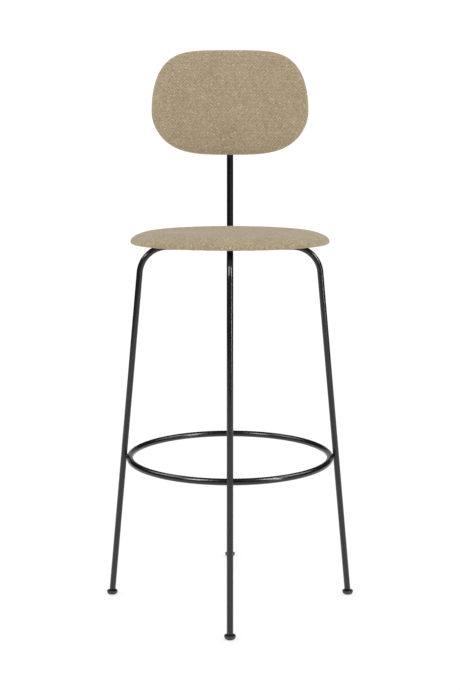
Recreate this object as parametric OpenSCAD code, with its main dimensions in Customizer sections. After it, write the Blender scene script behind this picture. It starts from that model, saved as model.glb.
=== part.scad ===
// Bar stool with a round padded seat, a padded backrest on one rear spine,
// four round steel legs and a round footrest ring.
// Millimetres, +Z up, the sitter faces -Y. The origin is on the floor,
// under the centre of the seat and of the footrest ring.

/* [Seat] */
// Height of the crown of the seat above the floor
seat_height = 750; // [700:5:800]
// Diameter of the round seat
seat_d = 394; // [360:2:420]
// Height of the crown above the widest line of the seat's edge
seat_crown = 21; // [16:1:24]
// How flat the top of the seat is: a higher power gives a tighter edge
seat_power = 5.7; // [3:0.1:8]
// Thickness of the plywood board in the seat
seat_board_t = 11; // [9:1:12]

/* [Backrest] */
// Width of the backrest
back_w = 334; // [300:1:360]
// Height of the backrest's widest line above the seat's crown
back_rise = 232; // [212:5:272]
// From the widest line up to the top edge
back_up = 130; // [110:1:140]
// From the widest line down to the bottom edge
back_down = 89; // [80:1:110]
// Thickness of the padded backrest at its middle
back_t = 34; // [30:1:40]
// Backward lean of the spine and the backrest, in degrees
back_lean = 4; // [2:0.5:5]

/* [Frame] */
// Outer diameter of the leg tubes
leg_d = 12.4; // [11:0.1:14]
// Wall of the leg tubes
leg_wall = 1.5; // [1:0.25:2]
// Length from the middle to the start of each leg's bend
leg_run = 123.5; // [110:0.5:126]
// Outward lean of the legs, in degrees
leg_lean = 5.5; // [4:0.5:6]
// Bend radius of the leg tubes, on the centre line
leg_bend_r = 56; // [40:1:65]
// Outer diameter of the spine tube
spine_d = 13.8; // [12:0.1:16]
// Wall of the spine tube
spine_wall = 2; // [1.5:0.25:2.5]
// Length from the middle to the start of the spine's bend
spine_run = 189.5; // [187.5:0.5:190]
// Bend radius of the spine tube, on the centre line
spine_bend_r = 38; // [36:1:40]

/* [Footrest] */
// Height of the centre line of the footrest ring
ring_height = 292; // [250:1:340]
// Diameter of the rod that the ring is bent from
ring_rod_d = 13; // [12:0.5:16]

/* [Feet] */
// Widest diameter of a glide
glide_d = 22; // [20:1:26]
// Height of a glide
glide_h = 7.4; // [7:0.2:8]
// Diameter of the ball that a glide tilts on
ball_d = 7; // [6.5:0.1:7.2]

/* [Hidden] */
$fn = 64;

// Clearance between parts that are welded or screwed together
touch = 0.02;
// Radial play of a glide on its ball
ball_play = 0.05;
// Gap between layers that are pressed together
layer_gap = 0.1;
// How far a cut runs past the face that it opens
over = 1;

// Seat, as heights above the floor
seat_r = seat_d / 2;
seat_edge_z = seat_height - seat_crown;
plate_t = 3;
plate_below_edge = 6.5;
plate_z = seat_edge_z - plate_below_edge;
cloth_t = 0.6;
cover_t = 1.2;
cloth_z = plate_z + layer_gap;
hem_z = cloth_z + cloth_t;
board_z = hem_z + cover_t;
board_top_z = board_z + seat_board_t;
board_inset = 10;
hem_inset = 38;
cloth_inset = 30;
board_r = seat_r - board_inset;
hem_r = seat_r - hem_inset;
cloth_r = seat_r - cloth_inset;
edge_drop = seat_edge_z - hem_z;
edge_tuck = 3;
plate_r = 55;
plate_recess_play = 0.3;
staple_inset = 8;

// Frame, as heights above the floor
frame_z = plate_z - leg_d / 2;
spine_z = plate_z - spine_d / 2;
ball_z = 5;
leg_tangent = leg_bend_r * tan((90 - leg_lean) / 2);
leg_top = leg_run + leg_tangent;
leg_len = (frame_z - ball_z) / cos(leg_lean);
foot_reach = leg_top + (frame_z - ball_z) * tan(leg_lean);
tube_start = 3.4;
cross_gap = leg_d / 2 + touch;

// The ring lies against the inside of every leg
leg_x_at_ring = foot_reach - (ring_height - ball_z) * tan(leg_lean);
ring_r = leg_x_at_ring - (leg_d + ring_rod_d + 2 * touch) / 2 / cos(leg_lean);

// Spine: a run under the seat, a bend, then a straight length up to the backrest
spine_up_y = spine_run + spine_bend_r * cos(back_lean);
spine_up_z = spine_z + spine_bend_r * (1 - sin(back_lean));
back_z = seat_height + back_rise;
back_y = spine_up_y + (back_z - spine_up_z) * tan(back_lean);
spine_over_back = 44;
spine_up_len = (back_z - spine_up_z) / cos(back_lean) + spine_over_back;

// Backrest, as depths in front of the spine's centre line
bracket_t = 3;
bracket_y = spine_d / 2 + touch;
back_rear_y = bracket_y + bracket_t;
back_board_t = 9;
back_board_inset = 7;
back_crown = 5;
back_edge_r = 13;
back_heel_r = 5;
panel_t = 1.2;
panel_inset = back_heel_r + 0.5;
bracket_w = 60;
bracket_h = 82;
back_screw_x = 20;
back_screw_z = 27;

// Fasteners
bolt_d = 6;
bolt_head_d = 10.5;
bolt_head_h = 3.3;
bolt_circle_r = 40;
bolt_len = 12;
bolt_hole_play = 0.4;
screw_d = 5;
screw_head_d = 9.2;
screw_head_h = 2.8;
screw_len = 10;
tee_flange_t = 1.2;
// A tee nut's barrel is thicker than its bolt, its flange is a multiple of it
tee_barrel = 2.4;
tee_flange = 3;
// Hex socket, as a share of the shank, and its depth
socket_ratio = 0.62;
socket_depth = 2.4;

// Feet
insert_len = 22;
stud_d = 5;
stud_len = 17;
neck_d = 4.4;

STEEL = "#2b2c2e";
FABRIC = "#ae9b7d";
FEET = [["right", 0], ["rear", 90], ["left", 180], ["front", 270]];

// ---------------------------------------------------------------- helpers

// Puts its children in the upright half-plane of one leg, seen from above
module facing(angle) {
    rotate([0, 0, angle]) children();
}

// Local +Z runs up the leg's centre line from the centre of its ball
module along_leg(angle) {
    facing(angle)
        translate([foot_reach, 0, ball_z])
            rotate([0, -leg_lean, 0]) children();
}

// Straight length of tube from the origin up +Z
module tube(d, wall, length) {
    difference() {
        cylinder(d = d, h = length);
        translate([0, 0, -over]) cylinder(d = d - 2 * wall, h = length + 2 * over);
    }
}

// A quarter bend less its lean, and a straight length down from its outer
// end; the origin is the centre of the bend and the run meets it at the top
module bent_tube(bend_r, d, wall, lean, straight) {
    rotate([0, -lean, 0]) {
        translate([bend_r, 0, -straight]) tube(d, wall, straight);
        rotate([90, 0, 0])
            rotate_extrude(angle = 90 - lean, $fn = 96)
                translate([bend_r, 0])
                    difference() {
                        circle(d = d);
                        circle(d = d - 2 * wall);
                    }
    }
}

// A leg with its bend, for the leg on +X
module bent_leg() {
    translate([leg_run, 0, frame_z - leg_bend_r])
        bent_tube(leg_bend_r, leg_d, leg_wall, leg_lean,
            leg_len - leg_tangent - tube_start);
}

// Local frame of the backrest: origin on the spine's centre line at the
// widest line of the pad, +Z up along the pad, -Y towards the sitter
module at_back() {
    translate([0, back_y, back_z]) rotate([-back_lean, 0, 0]) children();
}

function signed_pow(v, p) = sign(v) * pow(abs(v), p);

// One point of the backrest's outline: the sides draw in towards the top
function back_point(a, inset) =
    let (upper = sin(a) >= 0,
         side_power = upper ? 4.6 : 3.6,
         end_power = upper ? 2.2 : 1.8,
         h = (upper ? back_up : back_down) - inset)
    [(back_w / 2 - inset) * signed_pow(cos(a), 2 / side_power),
     h * signed_pow(sin(a), 2 / end_power)];

function back_outline(inset, steps) =
    [for (i = [0:steps - 1]) back_point(360 * (i + 0.5) / steps, inset)];

// Closed solid through a list of rings, ended by a flat face and a crown point
module loft(rings, crown) {
    n = len(rings[0]);
    m = len(rings);
    tip = n * m;
    points = concat([for (ring = rings) for (p = ring) p], [crown]);
    sides = [for (j = [0:m - 2]) for (i = [0:n - 1])
        let (k = (i + 1) % n) each [
            [j * n + i, (j + 1) * n + i, (j + 1) * n + k],
            [j * n + i, (j + 1) * n + k, j * n + k]]];
    flat_end = [[for (i = [0:n - 1]) i]];
    crown_end = [for (i = [0:n - 1])
        [(m - 1) * n + i, tip, (m - 1) * n + (i + 1) % n]];
    polyhedron(points = points, faces = concat(sides, flat_end, crown_end));
}

// Backrest pad between two depths, with a small rear edge, a round front
// edge and a crowned face
module back_pad(skin, rear, steps = 52) {
    front = back_rear_y + back_t - skin;
    heel = back_heel_r;
    edge = back_edge_r - skin;
    face = front - back_crown;
    heel_rings = [for (a = [0:30:90]) [heel * (1 - sin(a)), rear + heel * (1 - cos(a))]];
    edge_rings = [for (a = [0:15:90]) [edge * (1 - cos(a)), face - edge + edge * sin(a)]];
    face_rings = [for (s = [0.85, 0.6, 0.3]) s];
    loft(
        concat(
            [for (r = concat(heel_rings, edge_rings))
                [for (p = back_outline(skin + r[0], steps)) [p[0], -r[1], p[1]]]],
            [for (s = face_rings)
                [for (p = back_outline(skin + edge, steps))
                    [p[0] * s, -(face + back_crown * (1 - s * s)), p[1] * s]]]),
        [0, -front, 0]);
}

// A flat plate of the backrest's outline, between two depths
module back_slab(inset, rear, front) {
    translate([0, -rear, 0])
        rotate([90, 0, 0])
            linear_extrude(front - rear) polygon(back_outline(inset, 96));
}

// Button head and shank, head down, with the bearing face at z = 0
module button_screw(d, head_d, head_h, length) {
    difference() {
        union() {
            cylinder(d = d, h = length);
            rotate_extrude()
                polygon(concat([[0, 0]],
                    [for (a = [0:15:90]) [head_d / 2 * cos(a), -head_h * sin(a)]]));
        }
        translate([0, 0, -head_h - over])
            cylinder(d = d * socket_ratio, h = socket_depth, $fn = 6);
    }
}

// Flanged nut that is pressed into a board, flange up, bored for the shank
module tee_nut(d, length) {
    difference() {
        union() {
            cylinder(d = d + tee_barrel, h = length);
            translate([0, 0, length - tee_flange_t])
                cylinder(d = d * tee_flange, h = tee_flange_t);
        }
        translate([0, 0, -over]) cylinder(d = d, h = length + 2 * over);
    }
}

// Places for the four seat bolts, between the tubes
module at_bolts(z) {
    for (a = [45:90:315])
        rotate([0, 0, a]) translate([bolt_circle_r, 0, z]) children();
}

// Places for the four backrest screws, pointing from the rear to the sitter
module at_back_screws(depth) {
    at_back()
        for (x = [-1, 1], z = [-1, 1])
            translate([x * back_screw_x, -depth, z * back_screw_z])
                rotate([90, 0, 0]) children();
}

// Half of the seat's outline above its widest line, shrunk by a skin
function seat_upper(skin) = [for (a = [90:-7.5:0])
    let (s = sin(a))
    [(seat_r - skin) * s,
     seat_edge_z + (seat_crown - skin) * sqrt(max(0, 1 - pow(s, seat_power)))]];

// The seat's outline below its widest line, shrunk by a skin
function seat_lower(skin) = [for (a = [0:22.5:90])
    [seat_r - skin - edge_tuck * (1 - cos(a)), seat_edge_z - (edge_drop - skin) * sin(a)]];

// ---------------------------------------------------------------- frame

// One tube: left leg, run under the seat, right leg
module side_leg_tube() {
    color(STEEL) {
        bent_leg();
        facing(180) bent_leg();
        translate([-leg_run + touch, 0, frame_z])
            rotate([0, 90, 0]) tube(leg_d, leg_wall, 2 * (leg_run - touch));
    }
}

// Front leg, bent back under the seat and butted against the cross tube
module front_leg_tube() {
    color(STEEL)
        facing(270) {
            bent_leg();
            translate([cross_gap, 0, frame_z])
                rotate([0, 90, 0]) tube(leg_d, leg_wall, leg_run - touch - cross_gap);
        }
}

// Straight rear leg, notched to fit under the spine's run
module rear_leg_tube() {
    color(STEEL)
        difference() {
            along_leg(90)
                translate([0, 0, tube_start]) tube(leg_d, leg_wall, leg_len - tube_start);
            translate([0, leg_top / 2, spine_z])
                rotate([-90, 0, 0]) cylinder(d = spine_d + 2 * touch, h = leg_top);
        }
}

// Spine: from the cross tube back under the seat and up to the backrest
module spine_tube() {
    color(STEEL)
        facing(90) {
            translate([cross_gap, 0, spine_z])
                rotate([0, 90, 0])
                    tube(spine_d, spine_wall, spine_run - touch - cross_gap);
            translate([spine_run, 0, spine_z + spine_bend_r])
                mirror([0, 0, 1])
                    bent_tube(spine_bend_r, spine_d, spine_wall, back_lean, spine_up_len);
        }
}

// Plug that closes the top of the spine
module spine_cap() {
    cap_t = 1.5;
    plug_len = 8;
    color("#222325")
        facing(90)
            translate([spine_up_y, 0, spine_up_z])
                rotate([0, back_lean, 0])
                    translate([0, 0, spine_up_len]) {
                        cylinder(d = spine_d, h = cap_t);
                        translate([0, 0, -plug_len])
                            cylinder(d = spine_d - 2 * spine_wall, h = plug_len);
                    }
}

// Footrest ring, bent from solid rod
module footrest_ring() {
    color(STEEL)
        translate([0, 0, ring_height])
            rotate_extrude($fn = 128) translate([ring_r, 0]) circle(d = ring_rod_d);
}

// Tapered weld collar round a tube, wide end at the origin
module weld_collar(d) {
    bead = 1.8;
    bead_h = 2.8;
    bead_lip = 0.4;
    difference() {
        cylinder(d1 = d + 2 * bead, d2 = d + bead_lip, h = bead_h);
        translate([0, 0, -over]) cylinder(d = d + 2 * touch, h = bead_h + 2 * over);
    }
}

// Welds where the front run and the spine butt against the cross tube and
// where the rear leg meets the spine
module frame_welds() {
    color(STEEL)
        difference() {
            union() {
                facing(270) translate([cross_gap, 0, frame_z])
                    rotate([0, 90, 0]) weld_collar(leg_d);
                facing(90) translate([cross_gap, 0, spine_z])
                    rotate([0, 90, 0]) weld_collar(spine_d);
                along_leg(90)
                    translate([0, 0, leg_len - spine_d / 2 - leg_d / 8])
                        rotate([180, 0, 0]) weld_collar(leg_d);
            }
            translate([0, 0, plate_z]) cylinder(r = plate_r + over, h = spine_d);
        }
}

// Weld beads between the ring and the four legs
module ring_welds() {
    bead_d = 9;
    color(STEEL)
        for (foot = FEET)
            difference() {
                facing(foot[1])
                    translate([ring_r + ring_rod_d / 2, 0, ring_height]) sphere(d = bead_d);
                facing(foot[1])
                    translate([ring_r, 0, ring_height])
                        rotate([90, 0, 0])
                            cylinder(d = ring_rod_d + 2 * touch, h = 2 * bead_d, center = true);
                along_leg(foot[1])
                    translate([0, 0, leg_len / 4])
                        cylinder(d = leg_d + 2 * touch, h = leg_len / 3);
            }
}

// ---------------------------------------------------------------- seat

// Round steel plate, welded on the tubes and let into the seat board
module seat_mount_plate() {
    color(STEEL)
        difference() {
            translate([0, 0, plate_z]) cylinder(r = plate_r, h = plate_t);
            at_bolts(plate_z - over)
                cylinder(d = bolt_d + bolt_hole_play, h = plate_t + 2 * over);
        }
}

module seat_bolts() {
    color("#3a3b3d")
        at_bolts(plate_z) button_screw(bolt_d, bolt_head_d, bolt_head_h, bolt_len);
}

module seat_tee_nuts() {
    color("silver")
        at_bolts(plate_z + plate_t + layer_gap)
            tee_nut(bolt_d, board_top_z - plate_z - plate_t - layer_gap);
}

// Plywood disc with a recess for the plate and holes for the tee nuts
module seat_board() {
    nut_z = plate_z + plate_t + layer_gap;
    color("burlywood")
        difference() {
            translate([0, 0, board_z]) cylinder(r = board_r, h = seat_board_t);
            translate([0, 0, board_z - over])
                cylinder(r = plate_r + plate_recess_play, h = nut_z - board_z + over);
            at_bolts(nut_z - over)
                cylinder(d = bolt_d + tee_barrel, h = board_top_z - nut_z + 2 * over);
            at_bolts(board_top_z - tee_flange_t)
                cylinder(d = bolt_d * tee_flange, h = tee_flange_t + over);
        }
}

// Foam on the board and round its edge
module seat_foam() {
    color("khaki")
        rotate_extrude($fn = 128)
            polygon(concat([
                [0, board_top_z],
                [board_r, board_top_z],
                [board_r, board_z],
                [seat_r - cover_t - edge_tuck, board_z]], seat_upper(cover_t)));
}

// Woven cover: over the foam, round the edge and hemmed under the board
module seat_cover() {
    outer = concat(seat_upper_out(), seat_lower(0), [[hem_r, hem_z], [hem_r, board_z]]);
    inner = concat([[seat_r - cover_t - edge_tuck, board_z]], seat_upper(cover_t));
    color(FABRIC)
        rotate_extrude($fn = 128) polygon(concat(outer, inner));
}

// The outer upper outline, from the crown out to the widest line
function seat_upper_out() = let (up = seat_upper(0), n = len(up))
    [for (i = [0:n - 2]) up[n - 1 - i]];

// Black dust cloth over the hem, open round the mounting plate
module seat_underside_cloth() {
    color("#1c1c1d")
        translate([0, 0, cloth_z])
            difference() {
                cylinder(r = cloth_r, h = cloth_t);
                translate([0, 0, -over])
                    cylinder(r = plate_r + over, h = cloth_t + 2 * over);
            }
}

// Staple crowns that hold the dust cloth, clear of the four tubes
module seat_staples() {
    crown = [1.2, 10, 0.5];
    color("silver")
        for (a = [15:15:360])
            if (a % 90 != 0)
                rotate([0, 0, a])
                    translate([cloth_r - staple_inset, -crown[1] / 2, cloth_z - crown[2]])
                        cube(crown);
}

// ---------------------------------------------------------------- backrest

// Steel plate with round ends, welded along the front of the spine
module back_bracket() {
    color(STEEL)
        difference() {
            at_back()
                translate([0, -bracket_y, 0])
                    rotate([90, 0, 0])
                        linear_extrude(bracket_t)
                            union() {
                                for (z = [-1, 1])
                                    translate([0, z * (bracket_h - bracket_w) / 2])
                                        circle(d = bracket_w);
                                square([bracket_w, bracket_h - bracket_w], center = true);
                            }
            at_back_screws(bracket_y - over)
                cylinder(d = screw_d + bolt_hole_play, h = bracket_t + 2 * over);
        }
}

module back_screws() {
    color("#3a3b3d")
        at_back_screws(bracket_y)
            button_screw(screw_d, screw_head_d, screw_head_h, screw_len);
}

module back_tee_nuts() {
    color("silver")
        at_back_screws(back_rear_y + panel_t) tee_nut(screw_d, back_board_t);
}

// Plywood board of the backrest
module back_board() {
    rear = back_rear_y + panel_t;
    color("burlywood")
        difference() {
            at_back() back_slab(back_board_inset, rear, rear + back_board_t);
            at_back_screws(rear - over)
                cylinder(d = screw_d + tee_barrel, h = back_board_t + 2 * over);
            at_back_screws(rear + back_board_t - tee_flange_t)
                cylinder(d = screw_d * tee_flange, h = tee_flange_t + over);
        }
}

// Foam in front of the board and round its edge
module back_foam() {
    rear = back_rear_y + panel_t;
    color("khaki")
        difference() {
            at_back() back_pad(cover_t, rear);
            at_back() back_slab(back_board_inset, rear - over, rear + back_board_t);
        }
}

// Woven cover over the front and the edge of the backrest
module back_cover() {
    rear = back_rear_y + panel_t;
    color(FABRIC)
        difference() {
            at_back() back_pad(0, rear);
            at_back() back_pad(cover_t, rear);
            at_back() back_slab(back_heel_r + cover_t, rear - over, rear + 2 * over);
        }
}

// Woven panel that closes the back of the backrest
module back_rear_panel() {
    color(FABRIC)
        difference() {
            at_back() back_slab(panel_inset, back_rear_y, back_rear_y + panel_t);
            at_back_screws(back_rear_y - over)
                cylinder(d = screw_d + bolt_hole_play, h = panel_t + 2 * over);
        }
}

// ---------------------------------------------------------------- feet

// Plugs pressed into the ends of the legs, bored for the ball studs
module foot_inserts() {
    color("#3a3b3d")
        for (foot = FEET)
            along_leg(foot[1])
                translate([0, 0, tube_start])
                    difference() {
                        cylinder(d = leg_d - 2 * leg_wall, h = insert_len);
                        translate([0, 0, -over]) cylinder(d = stud_d, h = stud_len + over);
                    }
}

// Studs with a ball at the lower end, one in each leg
module ball_studs() {
    color("silver")
        for (foot = FEET)
            along_leg(foot[1]) {
                sphere(d = ball_d);
                cylinder(d = neck_d, h = tube_start);
                translate([0, 0, tube_start]) cylinder(d = stud_d, h = stud_len);
            }
}

// Glide: a round cup with a flat foot and a collar snapped over the ball
module glide(angle) {
    flat_r = 6.4;
    rim_r = glide_d / 2;
    rim_round = 0.7;
    side_h = glide_h - 2 * rim_round;
    dish_r = 7.4;
    dish_z = 5.4;
    collar_r = 4.8;
    collar_z = ball_z + 1.9;
    side = [for (a = [0:15:90])
        [flat_r + (rim_r - flat_r) * sin(a), side_h * (1 - cos(a))]];
    color("#1d1e1f")
        facing(angle)
            translate([foot_reach, 0, 0])
                difference() {
                    rotate_extrude($fn = 96)
                        polygon(concat([[0, 0]], side, [
                            [rim_r, glide_h - rim_round],
                            [rim_r - rim_round, glide_h],
                            [dish_r + rim_round, glide_h],
                            [dish_r, dish_z],
                            [collar_r, dish_z],
                            [collar_r, collar_z],
                            [0, collar_z]]));
                    translate([0, 0, ball_z]) sphere(d = ball_d + 2 * ball_play);
                }
}

module glide_right() { glide(FEET[0][1]); }
module glide_rear() { glide(FEET[1][1]); }
module glide_left() { glide(FEET[2][1]); }
module glide_front() { glide(FEET[3][1]); }

side_leg_tube();
front_leg_tube();
rear_leg_tube();
spine_tube();
spine_cap();
footrest_ring();
frame_welds();
ring_welds();
seat_mount_plate();
seat_bolts();
seat_tee_nuts();
seat_board();
seat_foam();
seat_cover();
seat_underside_cloth();
seat_staples();
back_bracket();
back_screws();
back_tee_nuts();
back_board();
back_foam();
back_cover();
back_rear_panel();
foot_inserts();
ball_studs();
glide_right();
glide_rear();
glide_left();
glide_front();
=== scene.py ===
"""Bar stool with footrest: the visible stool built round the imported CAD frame.

Every length is in metres in the frame's own axes: X to the right, Y away from the sitter's face and
Z up, with the origin on the floor under the middle of the seat.
"""

import logging
import math
from collections.abc import Callable, Iterable, Sequence
from dataclasses import dataclass, field
from enum import Enum
from typing import NamedTuple

import bmesh
import bpy
import numpy as np
from mathutils import Matrix, Vector


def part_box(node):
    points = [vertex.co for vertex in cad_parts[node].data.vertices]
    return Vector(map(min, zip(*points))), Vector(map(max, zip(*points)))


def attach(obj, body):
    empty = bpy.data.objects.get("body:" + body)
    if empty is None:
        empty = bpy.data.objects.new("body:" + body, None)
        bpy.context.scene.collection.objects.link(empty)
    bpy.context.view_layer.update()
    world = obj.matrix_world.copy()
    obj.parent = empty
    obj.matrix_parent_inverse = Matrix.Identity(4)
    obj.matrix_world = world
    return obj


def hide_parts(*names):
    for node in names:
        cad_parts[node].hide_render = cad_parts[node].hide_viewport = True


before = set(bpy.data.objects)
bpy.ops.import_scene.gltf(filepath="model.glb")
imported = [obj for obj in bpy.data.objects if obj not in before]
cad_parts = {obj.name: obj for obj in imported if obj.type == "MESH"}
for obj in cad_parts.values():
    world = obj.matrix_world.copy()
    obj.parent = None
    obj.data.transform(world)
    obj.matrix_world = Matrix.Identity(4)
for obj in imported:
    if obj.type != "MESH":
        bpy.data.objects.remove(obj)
log = logging.getLogger("bar_stool")

MM = 0.001
QUARTER = math.pi / 2
TURN = 2 * math.pi
# A wave texture's bands repeat every 0.314 of its coordinate at scale 1
WAVE_PERIOD = math.pi / 10


class Body(Enum):
    """The CAD bodies that pieces ride on."""

    FRAME = "frame"
    RIGHT = "glide_right"
    REAR = "glide_rear"
    LEFT = "glide_left"
    FRONT = "glide_front"


class Slot(Enum):
    """The record's material slots."""

    POWDER_COAT = "powder_coat"
    SEAT_FABRIC = "seat_fabric"
    BACK_FABRIC = "back_fabric"
    DUST_CLOTH = "dust_cloth"
    PLYWOOD = "plywood"
    ZINC_STEEL = "zinc_steel"
    BLACK_SCREW = "black_screw"
    GLIDE_NYLON = "glide_nylon"
    CAP_PLASTIC = "cap_plastic"


class Face(Enum):
    """The plane that a woven cloth is laid out in, as the turn that brings it to the pattern's XY."""

    LEVEL = (0.0, 0.0, 0.0)
    UPRIGHT = (QUARTER, 0.0, 0.0)


class End(Enum):
    """How a tube ends."""

    OPEN = "open"
    BUTTED = "butted"


# ---------------------------------------------------------------- shader helpers


def linear(code: str) -> tuple[float, float, float, float]:
    """Turn an sRGB hex colour into linear RGBA.

    Args:
        code: the colour, such as "#aa997e".

    Returns:
        Red, green, blue and full alpha in linear light.
    """
    parts = [int(code[i:i + 2], 16) / 255 for i in (1, 3, 5)]
    red, green, blue = [c / 12.92 if c <= 0.04045 else ((c + 0.055) / 1.055) ** 2.4 for c in parts]
    return red, green, blue, 1.0


def set_inputs(tree: bpy.types.NodeTree, node: bpy.types.Node, inputs: dict) -> None:
    """Fill a node's sockets.

    Args:
        tree: the tree that holds the node.
        node: the node to fill.
        inputs: by socket name, either a value or the output socket to link.
    """
    for key, value in inputs.items():
        if isinstance(value, bpy.types.NodeSocket):
            tree.links.new(value, node.inputs[key])
        else:
            node.inputs[key].default_value = value


def add(tree: bpy.types.NodeTree, kind: str, settings: dict | None = None,
        inputs: dict | None = None) -> bpy.types.Node:
    """Add one node with its settings and links.

    Args:
        tree: the node tree that gets the node.
        kind: the node's type name.
        settings: attributes of the node, set before its inputs.
        inputs: by socket name or number, either a value or the output socket to link.

    Returns:
        The new node.
    """
    node = tree.nodes.new(kind)
    for name, value in (settings or {}).items():
        setattr(node, name, value)
    set_inputs(tree, node, inputs or {})
    return node


class Mix(Enum):
    """Socket numbers of the colour mix node, whose names repeat."""

    FACTOR = 0
    A = 6
    B = 7
    RESULT = 2


class Finish:
    """A surface finish: a name, a slot and a shader built from nodes."""

    name: str
    slot: Slot

    def shade(self, tree: bpy.types.NodeTree, place: bpy.types.NodeSocket,
              shader: bpy.types.Node) -> None:
        """Add the finish's own nodes.

        Args:
            tree: the material's node tree.
            place: the position on the object, in metres.
            shader: the principled shader to fill.
        """
        raise NotImplementedError

    def material(self) -> bpy.types.Material:
        """Return the finish's material, made once and then shared."""
        known = bpy.data.materials.get(self.name)
        if known:
            return known
        made = bpy.data.materials.new(self.name)
        made.use_nodes = True
        tree = made.node_tree
        tree.nodes.clear()
        shader = add(tree, "ShaderNodeBsdfPrincipled")
        add(tree, "ShaderNodeOutputMaterial", inputs={"Surface": shader.outputs["BSDF"]})
        place = add(tree, "ShaderNodeTexCoord").outputs["Object"]
        self.shade(tree, place, shader)
        return made


# ---------------------------------------------------------------- finishes


@dataclass(frozen=True)
class PowderCoatedSteel(Finish):
    """Steel tube, blasted and coated with baked black polyester powder.

    The eye gets a deep black with soft white streaks, broken up a little by the orange peel that the
    powder leaves as it flows out.
    """

    name: str = "powder_coated_steel"
    slot: Slot = Slot.POWDER_COAT
    deep: str = "#151516"
    worn: str = "#1d1d1e"
    peel: float = 2.5 * MM
    patch: float = 45 * MM
    peel_height: float = 0.003 * MM
    peel_strength: float = 0.5
    patch_range: tuple[float, float] = (0.3, 0.7)
    smooth: float = 0.18
    dull: float = 0.25
    ior: float = 1.5

    def shade(self, tree: bpy.types.NodeTree, place: bpy.types.NodeSocket,
              shader: bpy.types.Node) -> None:
        """Orange peel as bump, and slow changes of colour and gloss.

        Args:
            tree: the material's node tree.
            place: the position on the object, in metres.
            shader: the principled shader to fill.
        """
        peel = add(tree, "ShaderNodeTexNoise", {}, {
            "Vector": place, "Scale": 1 / self.peel, "Detail": 1.0})
        patch = add(tree, "ShaderNodeTexNoise", {}, {
            "Vector": place, "Scale": 1 / self.patch, "Detail": 4.0})
        colour = add(tree, "ShaderNodeMix", {"data_type": "RGBA"}, {
            Mix.FACTOR.value: patch.outputs["Fac"], Mix.A.value: linear(self.deep),
            Mix.B.value: linear(self.worn)})
        gloss = add(tree, "ShaderNodeMapRange", {}, {
            "Value": patch.outputs["Fac"], "From Min": self.patch_range[0],
            "From Max": self.patch_range[1], "To Min": self.smooth, "To Max": self.dull})
        bump = add(tree, "ShaderNodeBump", {}, {
            "Height": peel.outputs["Fac"], "Strength": self.peel_strength,
            "Distance": self.peel_height})
        set_inputs(tree, shader, {
            "Base Color": colour.outputs[Mix.RESULT.value], "Roughness": gloss.outputs["Result"],
            "IOR": self.ior, "Normal": bump.outputs["Normal"]})


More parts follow.
